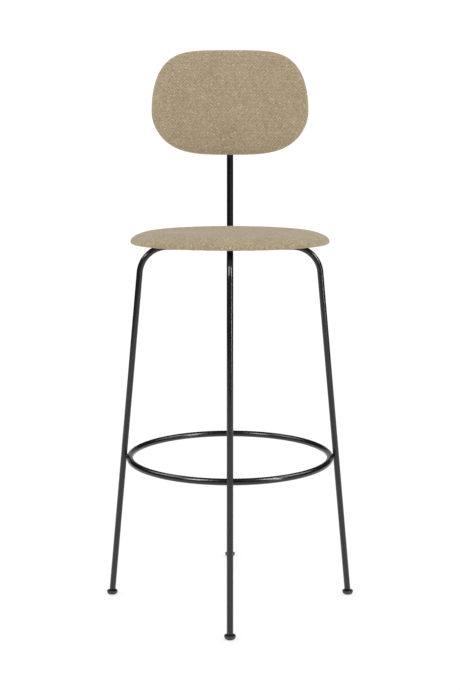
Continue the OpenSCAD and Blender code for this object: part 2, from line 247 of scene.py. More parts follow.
@dataclass(frozen=True)
class WovenUpholstery(Finish):
    """Melange polyester and wool upholstery in a plain weave of thick soft yarns.

    The eye gets sand-coloured grains with light and dark flecks from the mixed fibres, the weave's
    small checks lying on both diagonals, and a dusty brightening where the cloth turns away.
    """

    name: str = "woven_upholstery"
    slot: Slot = Slot.SEAT_FABRIC
    face: Face = Face.LEVEL
    dark: str = "#8f7e62"
    light: str = "#b8a78b"
    fleck: str = "#d2c5ab"
    knot: str = "#77674c"
    # The real yarns are about 1.2 mm wide, too fine to show, so a check of the weave is drawn six
    # times as wide and a grain of the melange twice as wide
    check: float = 7.0 * MM
    grain: float = 2.3 * MM
    sway: float = 2.4
    cloud: float = 55 * MM
    # Shares of each pattern in the colour, and of the grains' edges in the relief
    row_share: float = 0.12
    grain_share: float = 0.55
    cloud_share: float = 0.4
    grain_dip: float = -0.8
    # Grains above this draw become flecks or knots
    rare: float = 0.92
    fleck_weight: float = 0.7
    knot_weight: float = 0.6
    relief: float = 0.35 * MM
    relief_strength: float = 0.6
    roughness: float = 0.92
    specular: float = 0.2
    sheen: float = 0.12
    sheen_roughness: float = 0.5

    def shade(self, tree: bpy.types.NodeTree, place: bpy.types.NodeSocket,
              shader: bpy.types.Node) -> None:
        """Checks of the weave, melange grains, flecks and slow clouds.

        Args:
            tree: the material's node tree.
            place: the position on the object, in metres.
            shader: the principled shader to fill.
        """
        laid = add(tree, "ShaderNodeMapping", {}, {"Vector": place, "Rotation": self.face.value})
        warp, weft = [
            add(tree, "ShaderNodeMath", {"operation": "SUBTRACT"}, {
                0: add(tree, "ShaderNodeTexWave", {"bands_direction": way}, {
                    "Vector": laid.outputs["Vector"], "Scale": WAVE_PERIOD / self.check,
                    "Distortion": self.sway, "Detail": 1.0, "Detail Scale": 1.5}).outputs["Fac"],
                1: 0.5}) for way in ("X", "Y")]
        checks = add(tree, "ShaderNodeMath", {"operation": "MULTIPLY"}, {
            0: warp.outputs["Value"], 1: weft.outputs["Value"]})
        rows = add(tree, "ShaderNodeMath", {"operation": "MULTIPLY_ADD"}, {
            0: weft.outputs["Value"], 1: self.row_share, 2: checks.outputs["Value"]})
        grains = add(tree, "ShaderNodeTexVoronoi", {}, {"Vector": place, "Scale": 1 / self.grain})
        tone = add(tree, "ShaderNodeSeparateColor", {}, {"Color": grains.outputs["Color"]})
        clouds = add(tree, "ShaderNodeTexNoise", {}, {
            "Vector": place, "Scale": 1 / self.cloud, "Detail": 2.0})
        grained = add(tree, "ShaderNodeMath", {"operation": "MULTIPLY_ADD"}, {
            0: tone.outputs["Red"], 1: self.grain_share, 2: rows.outputs["Value"]})
        clouded = add(tree, "ShaderNodeMath", {"operation": "MULTIPLY_ADD"}, {
            0: clouds.outputs["Fac"], 1: self.cloud_share, 2: grained.outputs["Value"]})
        cloth = add(tree, "ShaderNodeMix", {"data_type": "RGBA"}, {
            Mix.FACTOR.value: clouded.outputs["Value"], Mix.A.value: linear(self.dark),
            Mix.B.value: linear(self.light)})
        pale = add(tree, "ShaderNodeMapRange", {}, {
            "Value": tone.outputs["Green"], "From Min": self.rare, "From Max": 1.0,
            "To Max": self.fleck_weight})
        flecked = add(tree, "ShaderNodeMix", {"data_type": "RGBA"}, {
            Mix.FACTOR.value: pale.outputs["Result"], Mix.A.value: cloth.outputs[Mix.RESULT.value],
            Mix.B.value: linear(self.fleck)})
        deep = add(tree, "ShaderNodeMapRange", {}, {
            "Value": tone.outputs["Blue"], "From Min": self.rare, "From Max": 1.0,
            "To Max": self.knot_weight})
        knotted = add(tree, "ShaderNodeMix", {"data_type": "RGBA"}, {
            Mix.FACTOR.value: deep.outputs["Result"], Mix.A.value: flecked.outputs[Mix.RESULT.value],
            Mix.B.value: linear(self.knot)})
        hill = add(tree, "ShaderNodeMath", {"operation": "MULTIPLY_ADD"}, {
            0: grains.outputs["Distance"], 1: self.grain_dip, 2: checks.outputs["Value"]})
        bump = add(tree, "ShaderNodeBump", {}, {
            "Height": hill.outputs["Value"], "Strength": self.relief_strength,
            "Distance": self.relief})
        set_inputs(tree, shader, {
            "Base Color": knotted.outputs[Mix.RESULT.value], "Roughness": self.roughness,
            "Specular IOR Level": self.specular, "Sheen Weight": self.sheen,
            "Sheen Roughness": self.sheen_roughness, "Normal": bump.outputs["Normal"]})


@dataclass(frozen=True)
class SpunbondCloth(Finish):
    """Black spunbond polypropylene, bonded from melt-spun fibres by a heated dot roller.

    The eye gets a flat dark grey with a fine regular grid of pressed dots and a few stray fibres.
    """

    name: str = "spunbond_cloth"
    slot: Slot = Slot.DUST_CLOTH
    dark: str = "#19191a"
    light: str = "#2b2b2c"
    dot: float = 1.8 * MM
    fibre: float = 6 * MM
    relief: float = 0.12 * MM
    relief_strength: float = 0.5
    roughness: float = 0.85

    def shade(self, tree: bpy.types.NodeTree, place: bpy.types.NodeSocket,
              shader: bpy.types.Node) -> None:
        """Pressed dots in two directions, and fibres.

        Args:
            tree: the material's node tree.
            place: the position on the object, in metres.
            shader: the principled shader to fill.
        """
        across, along = [
            add(tree, "ShaderNodeTexWave", {"bands_direction": way}, {
                "Vector": place, "Scale": WAVE_PERIOD / self.dot}) for way in ("X", "Y")]
        dots = add(tree, "ShaderNodeMath", {"operation": "MULTIPLY"}, {
            0: across.outputs["Fac"], 1: along.outputs["Fac"]})
        fibres = add(tree, "ShaderNodeTexNoise", {}, {
            "Vector": place, "Scale": 1 / self.fibre, "Detail": 6.0, "Distortion": 2.0})
        colour = add(tree, "ShaderNodeMix", {"data_type": "RGBA"}, {
            Mix.FACTOR.value: fibres.outputs["Fac"], Mix.A.value: linear(self.dark),
            Mix.B.value: linear(self.light)})
        bump = add(tree, "ShaderNodeBump", {}, {
            "Height": dots.outputs["Value"], "Strength": self.relief_strength,
            "Distance": self.relief})
        set_inputs(tree, shader, {
            "Base Color": colour.outputs[Mix.RESULT.value], "Roughness": self.roughness,
            "Normal": bump.outputs["Normal"]})


@dataclass(frozen=True)
class BirchPlywood(Finish):
    """Rotary-cut birch plywood, sawn and sanded.

    The eye gets pale wood with darker glue lines between the plies and long soft grain on the faces.
    """

    name: str = "birch_plywood"
    slot: Slot = Slot.PLYWOOD
    pale: str = "#d9bd90"
    warm: str = "#b98f5c"
    ply: float = 1.5 * MM
    grain_length: float = 90 * MM
    grain_width: float = 7 * MM
    roughness: float = 0.6

    def shade(self, tree: bpy.types.NodeTree, place: bpy.types.NodeSocket,
              shader: bpy.types.Node) -> None:
        """Plies through the thickness, and grain along X.

        Args:
            tree: the material's node tree.
            place: the position on the object, in metres.
            shader: the principled shader to fill.
        """
        plies = add(tree, "ShaderNodeTexWave", {"bands_direction": "Z"}, {
            "Vector": place, "Scale": WAVE_PERIOD / (2 * self.ply)})
        drawn = add(tree, "ShaderNodeMapping", {}, {
            "Vector": place,
            "Scale": (1 / self.grain_length, 1 / self.grain_width, 1 / self.grain_width)})
        grain = add(tree, "ShaderNodeTexNoise", {}, {
            "Vector": drawn.outputs["Vector"], "Scale": 1.0, "Detail": 5.0})
        both = add(tree, "ShaderNodeMath", {"operation": "MULTIPLY"}, {
            0: plies.outputs["Fac"], 1: grain.outputs["Fac"]})
        colour = add(tree, "ShaderNodeMix", {"data_type": "RGBA"}, {
            Mix.FACTOR.value: both.outputs["Value"], Mix.A.value: linear(self.pale),
            Mix.B.value: linear(self.warm)})
        set_inputs(tree, shader, {
            "Base Color": colour.outputs[Mix.RESULT.value], "Roughness": self.roughness})


@dataclass(frozen=True)
class MetalPart(Finish):
    """Small pressed or turned steel part with a thin plated or oxidised skin.

    The eye gets a metal glint that changes slowly over the part where the skin is thicker or rubbed.
    """

    name: str = "metal_part"
    slot: Slot = Slot.ZINC_STEEL
    low: str = "#9fa3a8"
    high: str = "#cfd2d4"
    patch: float = 4 * MM
    polished: float = 0.25
    dull: float = 0.42

    def shade(self, tree: bpy.types.NodeTree, place: bpy.types.NodeSocket,
              shader: bpy.types.Node) -> None:
        """Slow patches of colour and gloss on bare metal.

        Args:
            tree: the material's node tree.
            place: the position on the object, in metres.
            shader: the principled shader to fill.
        """
        patch = add(tree, "ShaderNodeTexNoise", {}, {
            "Vector": place, "Scale": 1 / self.patch, "Detail": 4.0})
        colour = add(tree, "ShaderNodeMix", {"data_type": "RGBA"}, {
            Mix.FACTOR.value: patch.outputs["Fac"], Mix.A.value: linear(self.low),
            Mix.B.value: linear(self.high)})
        gloss = add(tree, "ShaderNodeMapRange", {}, {
            "Value": patch.outputs["Fac"], "To Min": self.polished, "To Max": self.dull})
        set_inputs(tree, shader, {
            "Base Color": colour.outputs[Mix.RESULT.value], "Metallic": 1.0,
            "Roughness": gloss.outputs["Result"]})


@dataclass(frozen=True)
class MouldedPlastic(Finish):
    """Black plastic, injection moulded in a spark-eroded mould.

    The eye gets a dull black with a very fine pebble and slightly greyer scuffed patches.
    """

    name: str = "moulded_plastic"
    slot: Slot = Slot.GLIDE_NYLON
    deep: str = "#131314"
    scuffed: str = "#232324"
    pebble: float = 0.8 * MM
    scuff: float = 9 * MM
    relief: float = 0.03 * MM
    relief_strength: float = 0.4
    smooth: float = 0.36
    dull: float = 0.5
    ior: float = 1.53

    def shade(self, tree: bpy.types.NodeTree, place: bpy.types.NodeSocket,
              shader: bpy.types.Node) -> None:
        """Pebbled skin with scuffs.

        Args:
            tree: the material's node tree.
            place: the position on the object, in metres.
            shader: the principled shader to fill.
        """
        pebble = add(tree, "ShaderNodeTexVoronoi", {}, {"Vector": place, "Scale": 1 / self.pebble})
        scuff = add(tree, "ShaderNodeTexNoise", {}, {
            "Vector": place, "Scale": 1 / self.scuff, "Detail": 5.0})
        colour = add(tree, "ShaderNodeMix", {"data_type": "RGBA"}, {
            Mix.FACTOR.value: scuff.outputs["Fac"], Mix.A.value: linear(self.deep),
            Mix.B.value: linear(self.scuffed)})
        gloss = add(tree, "ShaderNodeMapRange", {}, {
            "Value": scuff.outputs["Fac"], "To Min": self.smooth, "To Max": self.dull})
        bump = add(tree, "ShaderNodeBump", {}, {
            "Height": pebble.outputs["Distance"], "Strength": self.relief_strength,
            "Distance": self.relief})
        set_inputs(tree, shader, {
            "Base Color": colour.outputs[Mix.RESULT.value], "Roughness": gloss.outputs["Result"],
            "IOR": self.ior, "Normal": bump.outputs["Normal"]})


POWDER_COAT = PowderCoatedSteel()
SEAT_CLOTH = WovenUpholstery(name="seat_upholstery", slot=Slot.SEAT_FABRIC, face=Face.LEVEL)
BACK_CLOTH = WovenUpholstery(name="back_upholstery", slot=Slot.BACK_FABRIC, face=Face.UPRIGHT)
DUST_CLOTH = SpunbondCloth()
PLYWOOD = BirchPlywood()
ZINC_STEEL = MetalPart(name="zinc_plated_steel")
BLACK_OXIDE_STEEL = MetalPart(
    name="black_oxide_steel", slot=Slot.BLACK_SCREW, low="#1d1d1f", high="#343538",
    polished=0.34, dull=0.5)
GLIDE_NYLON = MouldedPlastic(name="moulded_nylon", deep="#242425", scuffed="#3c3c3d")
CAP_PLASTIC = MouldedPlastic(
    name="moulded_polyethylene", slot=Slot.CAP_PLASTIC, smooth=0.42, dull=0.55, ior=1.51)


# ---------------------------------------------------------------- mesh helpers


def new_piece(name: str, points: Iterable[Vector], faces: Iterable[Sequence[int]], finish: Finish,
              body: Body, replaced: Sequence[str]) -> bpy.types.Object:
    """Make a smooth-shaded mesh piece in place of CAD nodes.

    Args:
        name: the piece's name.
        points: its vertices.
        faces: its faces, as vertex numbers.
        finish: its finish.
        body: the CAD body it rides on.
        replaced: the CAD nodes it stands for.

    Returns:
        The new object.
    """
    mesh = bpy.data.meshes.new(name)
    mesh.from_pydata([tuple(p) for p in points], [], [tuple(f) for f in faces])
    form = bmesh.new()
    form.from_mesh(mesh)
    bmesh.ops.recalc_face_normals(form, faces=form.faces)
    form.to_mesh(mesh)
    form.free()
    mesh.shade_smooth()
    piece = bpy.data.objects.new(name, mesh)
    bpy.context.scene.collection.objects.link(piece)
    mesh.materials.append(finish.material())
    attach(piece, body.value)
    if replaced:
        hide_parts(*replaced)
    return piece


def skin(rings: Sequence[Sequence[Vector]], joined: bool = False,
         capped: bool = True) -> tuple[list[Vector], list[tuple[int, ...]]]:
    """Join rings of equal length into a surface.

    Args:
        rings: the rings, in order.
        joined: whether the last ring meets the first.
        capped: whether the two end rings are closed with a face.

    Returns:
        The vertices and faces.
    """
    count = len(rings[0])
    points = [p for ring in rings for p in ring]
    faces = []
    for row in range(len(rings) if joined else len(rings) - 1):
        here, there = row * count, (row + 1) % len(rings) * count
        for i in range(count):
            k = (i + 1) % count
            faces.append((here + i, here + k, there + k, there + i))
    if capped and not joined:
        faces.append(tuple(reversed(range(count))))
        faces.append(tuple(range(len(points) - count, len(points))))
    return points, faces


def rounded_path(corners: Sequence[Vector], radius: float, step: float = 3 * MM) -> list[Vector]:
    """Follow straight lines between corners, with a round bend at each inner corner.

    Args:
        corners: the ends and the corners of the lines.
        radius: the bends' radius on the centre line.
        step: the spacing of points along a bend.

    Returns:
        The points of the path.
    """
    path = [corners[0]]
    for before, corner, after in zip(corners, corners[1:], corners[2:]):
        into = (corner - before).normalized()
        out = (after - corner).normalized()
        angle = into.angle(out)
        start = corner - into * radius * math.tan(angle / 2)
        centre = start + (out - into * into.dot(out)).normalized() * radius
        arm = start - centre
        steps = max(2, round(radius * angle / step))
        axis = into.cross(out).normalized()
        path += [centre + Matrix.Rotation(angle * i / steps, 3, axis) @ arm for i in range(steps + 1)]
    return path + [corners[-1]]


@dataclass(frozen=True)
class Tube:
    """A bent steel tube.

    Attributes:
        radius: outer radius.
        wall: wall thickness.
        ends: how the first and the last end are made.
        sides: facets round the tube.
        lip: rounding of the rim at the tube's mouth.
        mouth: how deep the inside of an open end is drawn.
    """

    radius: float
    wall: float
    ends: tuple[End, End]
    sides: int = 48
    lip: float = 0.4 * MM
    mouth: float = 9 * MM

    def rings(self, path: Sequence[Vector], level: Vector) -> list[list[Vector]]:
        """Lay out the tube's rings along a path in one plane.

        Args:
            path: the centre line.
            level: the normal of the plane that the path lies in.

        Returns:
            The rings, from the first end to the last.
        """
        ways = [(b - a).normalized() for a, b in zip(path, path[1:])]
        turns = [(a + b).normalized() for a, b in zip(ways, ways[1:])]
        tangents = [ways[0], *turns, ways[-1]]
        stations = [(p, t, self.radius) for p, t in zip(path, tangents)]
        first = [(path[0] + ways[0] * depth, ways[0], r)
                 for depth, r in self.mouth_steps(self.ends[0])]
        last = [(path[-1] - ways[-1] * depth, ways[-1], r)
                for depth, r in self.mouth_steps(self.ends[1])]
        rings = []
        for centre, tangent, radius in first + stations[1:-1] + last[::-1]:
            side = tangent.cross(level).normalized()
            rings.append([
                centre + (side * math.cos(a) + level * math.sin(a)) * radius
                for a in np.linspace(0, TURN, self.sides, endpoint=False)])
        return rings

    def mouth_steps(self, end: End) -> list[tuple[float, float]]:
        """List an end's stations as depth into the tube and radius, from its inside out.

        Args:
            end: how the end is made.

        Returns:
            Pairs of depth and radius.
        """
        inner = self.radius - self.wall
        rim = [(0.0, self.radius - self.lip), (0.3 * self.lip, self.radius - 0.3 * self.lip),
               (self.lip, self.radius)]
        if end is End.BUTTED:
            return rim
        return [(self.mouth, inner), (self.lip, inner), (0.0, inner + self.lip)] + rim


def box_centre(node: str) -> Vector:
    """Return the middle of a CAD node's box."""
    low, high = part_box(node)
    return (low + high) / 2


# ---------------------------------------------------------------- frame


@dataclass
class SteelFrame:
    """The bent tubes: left and right legs in one piece, front leg, rear leg and spine.

    Attributes:
        leg_lean: lean of a leg from upright.
        leg_bend: bend radius of the legs.
        leg_wall: wall of the leg tubes.
        spine_lean: lean of the spine's upper length.
        spine_bend: bend radius of the spine.
        spine_wall: wall of the spine tube.
        ball_height: height of the ball under each leg.
        tube_start: from the ball up to the tube's end.
    """

    leg_lean: float = math.radians(5.5)
    leg_bend: float = 56 * MM
    leg_wall: float = 1.5 * MM
    spine_lean: float = math.radians(4)
    spine_bend: float = 38 * MM
    spine_wall: float = 2 * MM
    ball_height: float = 5 * MM
    tube_start: float = 3.4 * MM

    def __post_init__(self) -> None:
        """Read the tubes' places from the CAD frame."""
        low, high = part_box("side_leg_tube")
        self.leg_radius = (high.y - low.y) / 2
        self.run_height = high.z - self.leg_radius
        self.reach = box_centre("glide_right").x
        climb = self.run_height - self.ball_height
        self.corner = self.reach - climb * math.tan(self.leg_lean)
        low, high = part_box("spine_tube")
        self.spine_radius = (high.x - low.x) / 2
        self.spine_run_height = low.z + self.spine_radius
        self.spine_top = Vector((0, high.y - self.spine_radius * math.cos(self.spine_lean),
                                 high.z - self.spine_radius * math.sin(self.spine_lean)))

    def foot(self, way: Vector) -> Vector:
        """Return the lower end of the leg that stands out in a level direction."""
        up_leg = Vector((0, 0, math.cos(self.leg_lean))) - way * math.sin(self.leg_lean)
        return way * self.reach + Vector((0, 0, self.ball_height)) + up_leg * self.tube_start

    def shoulder(self, way: Vector) -> Vector:
        """Return the corner where that leg's line meets the level run."""
        return way * self.corner + Vector((0, 0, self.run_height))

    def build(self) -> list[bpy.types.Object]:
        """Build the four tubes.

        Returns:
            The tubes' objects.
        """
        right, rear = Vector((1, 0, 0)), Vector((0, 1, 0))
        leg = Tube(self.leg_radius, self.leg_wall, (End.OPEN, End.OPEN))
        butted_leg = Tube(self.leg_radius, self.leg_wall, (End.OPEN, End.BUTTED))
        spine = Tube(self.spine_radius, self.spine_wall, (End.BUTTED, End.OPEN))
        side_path = rounded_path(
            [self.foot(-right), self.shoulder(-right), self.shoulder(right), self.foot(right)],
            self.leg_bend)
        front_path = rounded_path(
            [self.foot(-rear), self.shoulder(-rear), Vector((0, 0, self.run_height))], self.leg_bend)
        rear_path = [self.foot(rear), self.shoulder(rear)]
        start = Vector((0, 0, self.spine_run_height))
        rise = self.spine_top.z - start.z
        bend = Vector((0, self.spine_top.y - rise * math.tan(self.spine_lean), start.z))
        spine_path = rounded_path([start, bend, self.spine_top], self.spine_bend)
        made = []
        for name, node, tube, path, level in (
                ("side_legs", "side_leg_tube", leg, side_path, rear),
                ("front_leg", "front_leg_tube", butted_leg, front_path, right),
                ("rear_leg", "rear_leg_tube", butted_leg, rear_path, right),
                ("spine", "spine_tube", spine, spine_path, right)):
            points, faces = skin(tube.rings(path, level))
            made.append(new_piece(name, points, faces, POWDER_COAT, Body.FRAME, [node]))
        return made


@dataclass
class FootrestRing:
    """The footrest: a rod bent to a ring inside the legs.

    Attributes:
        around: facets along the ring.
        sides: facets round the rod.
    """

    around: int = 256
    sides: int = 40

    def build(self) -> list[bpy.types.Object]:
        """Build the ring from the CAD ring's box.

        Returns:
            The ring's object, in a list.
        """
        low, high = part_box("footrest_ring")
        rod = (high.z - low.z) / 2
        radius = high.x - rod
        height = (high.z + low.z) / 2
        rings = []
        for a in np.linspace(0, TURN, self.around, endpoint=False):
            out = Vector((math.cos(a), math.sin(a), 0))
            rings.append([
                out * (radius + rod * math.cos(b)) + Vector((0, 0, height + rod * math.sin(b)))
                for b in np.linspace(0, TURN, self.sides, endpoint=False)])
        points, faces = skin(rings, joined=True)
        return [new_piece("footrest", points, faces, POWDER_COAT, Body.FRAME, ["footrest_ring"])]


# ---------------------------------------------------------------- cushions


class Station(NamedTuple):
    """One ring of a pad: in from its outline, its share of the outline, and its depth."""

    inset: float
    share: float
    depth: float


def quilt(front: Sequence[Station], rear: Sequence[Station],
          place: Callable[[float, Station], Vector]) -> tuple[list[Vector], list[tuple[int, ...]]]:
    """Close a pad with two square grids of even quads that are pressed into its outline.

    Args:
        front: the stations of the front, from its middle to the widest line.
        rear: the stations of the rear, from its middle to the same widest line.
        place: gives the point at an angle round the outline and a station.

    Returns:
        The vertices and faces.
    """
    half = len(front) - 1
    points: list[Vector] = []
    number: dict[tuple[int, int, int], int] = {}
    for side, stations in enumerate((front, rear)):
        for i in range(-half, half + 1):
            for j in range(-half, half + 1):
                ring = max(abs(i), abs(j))
                if ring == half and side == 1:
                    number[1, i, j] = number[0, i, j]
                    continue
                if ring == 0:
                    angle = 0.0
                elif abs(i) >= abs(j):
                    angle = QUARTER / 2 * j / i + (math.pi if i < 0 else 0)
                else:
                    angle = QUARTER - QUARTER / 2 * i / j + (math.pi if j < 0 else 0)
                number[side, i, j] = len(points)
                points.append(place(angle, stations[ring]))
    faces = []
    for side in (0, 1):
        for i in range(-half, half):
            for j in range(-half, half):
                quad = (number[side, i, j], number[side, i + 1, j],
                        number[side, i + 1, j + 1], number[side, i, j + 1])
                faces.append(quad if side == 0 else quad[::-1])
    return points, faces


def spaced(curve: Sequence[Station], count: int, reach: float) -> list[Station]:
    """Choose evenly spaced stations on a finely drawn curve.

    Args:
        curve: the finely drawn curve.
        count: how many stations to return.
        reach: the outline's mean radius, which a share is taken of.

    Returns:
        The stations, first and last of the curve included.
    """
    rows = np.array([[s.inset, s.share, s.depth] for s in curve])
    flat = np.column_stack(((reach - rows[:, 0]) * rows[:, 1], rows[:, 2]))
    run = np.concatenate(([0], np.cumsum(np.hypot(*np.diff(flat, axis=0).T))))
    at = np.linspace(0, run[-1], count)
    return [Station(*(float(np.interp(s, run, rows[:, k])) for k in range(3))) for s in at]


@dataclass(frozen=True)
class Stuffing:
    """How a cover is blown up over its foam.

    Attributes:
        slack: how far the cover starts inside its final shape.
        travel: the most that a point may move.
        pressure: pressure inside the cover.
        stiffness: how hard the cover resists stretch.
        frames: steps of the simulation.
        spreads: how often the rise is spread over its neighbours.
    """

    slack: float = 0.9 * MM
    travel: float = 1.3 * MM
    pressure: float = 4.0
    stiffness: float = 15.0
    frames: int = 20
    spreads: int = 40

    def swell(self, piece: bpy.types.Object, held: np.ndarray) -> None:
        """Shrink the cover a little, simulate it under pressure and keep the result.

        Args:
            piece: the cover.
            held: for each vertex, how firmly it is held, from 0 to 1.
        """
        mesh = piece.data
        count = len(mesh.vertices)
        full = np.zeros(count * 3)
        mesh.vertices.foreach_get("co", full)
        full = full.reshape(-1, 3)
        normals = np.array([v.normal[:] for v in mesh.vertices])
        start = full - normals * self.slack * (1 - held)[:, None]
        mesh.vertices.foreach_set("co", start.ravel())
        mesh.update()
        group = piece.vertex_groups.new(name="held")
        for strength in np.unique(held[held > 0]):
            group.add([int(i) for i in np.flatnonzero(held == strength)], float(strength), "REPLACE")
        cloth = piece.modifiers.new("cover", "CLOTH")
        cloth.settings.use_pressure = True
        cloth.settings.uniform_pressure_force = self.pressure
        cloth.settings.tension_stiffness = self.stiffness
        cloth.settings.compression_stiffness = self.stiffness
        cloth.settings.vertex_group_mass = group.name
        cloth.settings.effector_weights.gravity = 0
        cloth.point_cache.frame_start = 1
        cloth.point_cache.frame_end = self.frames
        scene = bpy.context.scene
        for number in range(1, self.frames + 1):
            scene.frame_set(number)
        shaped = piece.evaluated_get(bpy.context.evaluated_depsgraph_get()).data
        end = np.zeros(count * 3)
        shaped.vertices.foreach_get("co", end)
        move = end.reshape(-1, 3) - start
        rise = self.even_out(mesh, np.clip(np.einsum("ij,ij->i", move, normals), 0, 2 * self.travel))
        log.info("%s: cover rose %.2f mm on average, from %.2f to %.2f mm", piece.name,
                 rise.mean() / MM, rise.min() / MM, rise.max() / MM)
        move = normals * np.clip(rise, 0, self.travel)[:, None]
        piece.modifiers.remove(cloth)
        scene.frame_set(1)
        piece.vertex_groups.remove(group)
        mesh.vertices.foreach_set("co", (start + move).ravel())
        mesh.update()

    def even_out(self, mesh: bpy.types.Mesh, rise: np.ndarray) -> np.ndarray:
        """Spread the cover's rise over its neighbours, as the foam under it does.

        Args:
            mesh: the cover's mesh.
            rise: how far each vertex rose.

        Returns:
            The smoother rise.
        """
        ends = np.zeros(len(mesh.edges) * 2, int)
        mesh.edges.foreach_get("vertices", ends)
        here, there = ends.reshape(-1, 2).T
        size = len(rise)
        count = np.bincount(here, minlength=size) + np.bincount(there, minlength=size)
        for _ in range(self.spreads):
            around = np.bincount(here, rise[there], size) + np.bincount(there, rise[here], size)
            rise = (rise + around) / (1 + count)
        return rise


def subdivide(piece: bpy.types.Object) -> None:
    """Add one level of smooth subdivision."""
    level = piece.modifiers.new("subdivision", "SUBSURF")
    level.levels = 1
    level.render_levels = 1


@dataclass
class SeatPad:
    """The round seat pad: woven cover over foam, drawn round the board and hemmed under it.

    Attributes:
        crown: height of the crown above the widest line.
        power: how flat the crown is.
        tuck: how far the edge draws in under the widest line.
        hem: width of the hem under the board.
        folds: gathers of the hem round the seat.
        fold_depth: height of a gather.
        hem_height: how far the hem stands down from the board.
        held_height: cover this near to the hem's underside is stapled down.
        fill: how tight the pad is stuffed, from 0 to 1; not used.
        rings: grid rings from the middle to the edge.
    """

    crown: float = 21 * MM
    power: float = 5.7
    tuck: float = 3 * MM
    hem: float = 38 * MM
    folds: int = 44
    fold_depth: float = 0.35 * MM
    hem_height: float = 3 * MM
    held_height: float = 4 * MM
    fill: float = 0.85
    rings: int = 48

    def top(self, radius: float, edge: float, share: float) -> Station:
        """Return the upper surface at a share of the radius."""
        return Station(0, share, edge + self.crown * math.sqrt(max(0, 1 - share ** self.power)))

    def build(self) -> list[bpy.types.Object]:
        """Build the cover and swell it.

        Returns:
            The pad's object, in a list.
        """
        low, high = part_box("seat_cover")
        radius, bottom = high.x, low.z
        edge = high.z - self.crown
        # Each stretch is drawn more finely than the grid's rings are spaced
        shares = [math.sin(a) for a in np.linspace(0, QUARTER, 400)]
        front = spaced([self.top(radius, edge, s) for s in shares], self.rings + 1, radius)
        board = bottom + self.hem_height
        under = [Station(self.hem, t, board) for t in np.linspace(0, 1, 60)]
        under += [Station(self.hem, 1, z) for z in np.linspace(board, bottom, 8)]
        under += [Station(i, 1, bottom) for i in np.linspace(self.hem, self.tuck, 40)]
        under += [Station(self.tuck * (1 - math.sin(a)), 1, edge - (edge - bottom) * math.cos(a))
                  for a in np.linspace(0, QUARTER, 20)]
        rear = spaced(under, self.rings + 1, radius)

        def place(angle: float, at: Station) -> Vector:
            """Return the point at an angle and a station of the round seat."""
            reach = (radius - at.inset) * at.share
            gather = 0.0
            if at.share == 1 and self.tuck < at.inset < self.hem:
                gather = self.fold_depth * (0.5 + 0.5 * math.cos(self.folds * angle))
            return Vector((reach * math.cos(angle), reach * math.sin(angle), at.depth + gather))

        points, faces = quilt(front, rear, place)
        piece = new_piece(
            "seat_pad", points, faces, SEAT_CLOTH, Body.FRAME, ["seat_cover", "seat_foam"])
        heights = np.array([p.z for p in points])
        Stuffing().swell(piece, (heights < bottom + self.held_height).astype(float))
        subdivide(piece)
        return [piece]


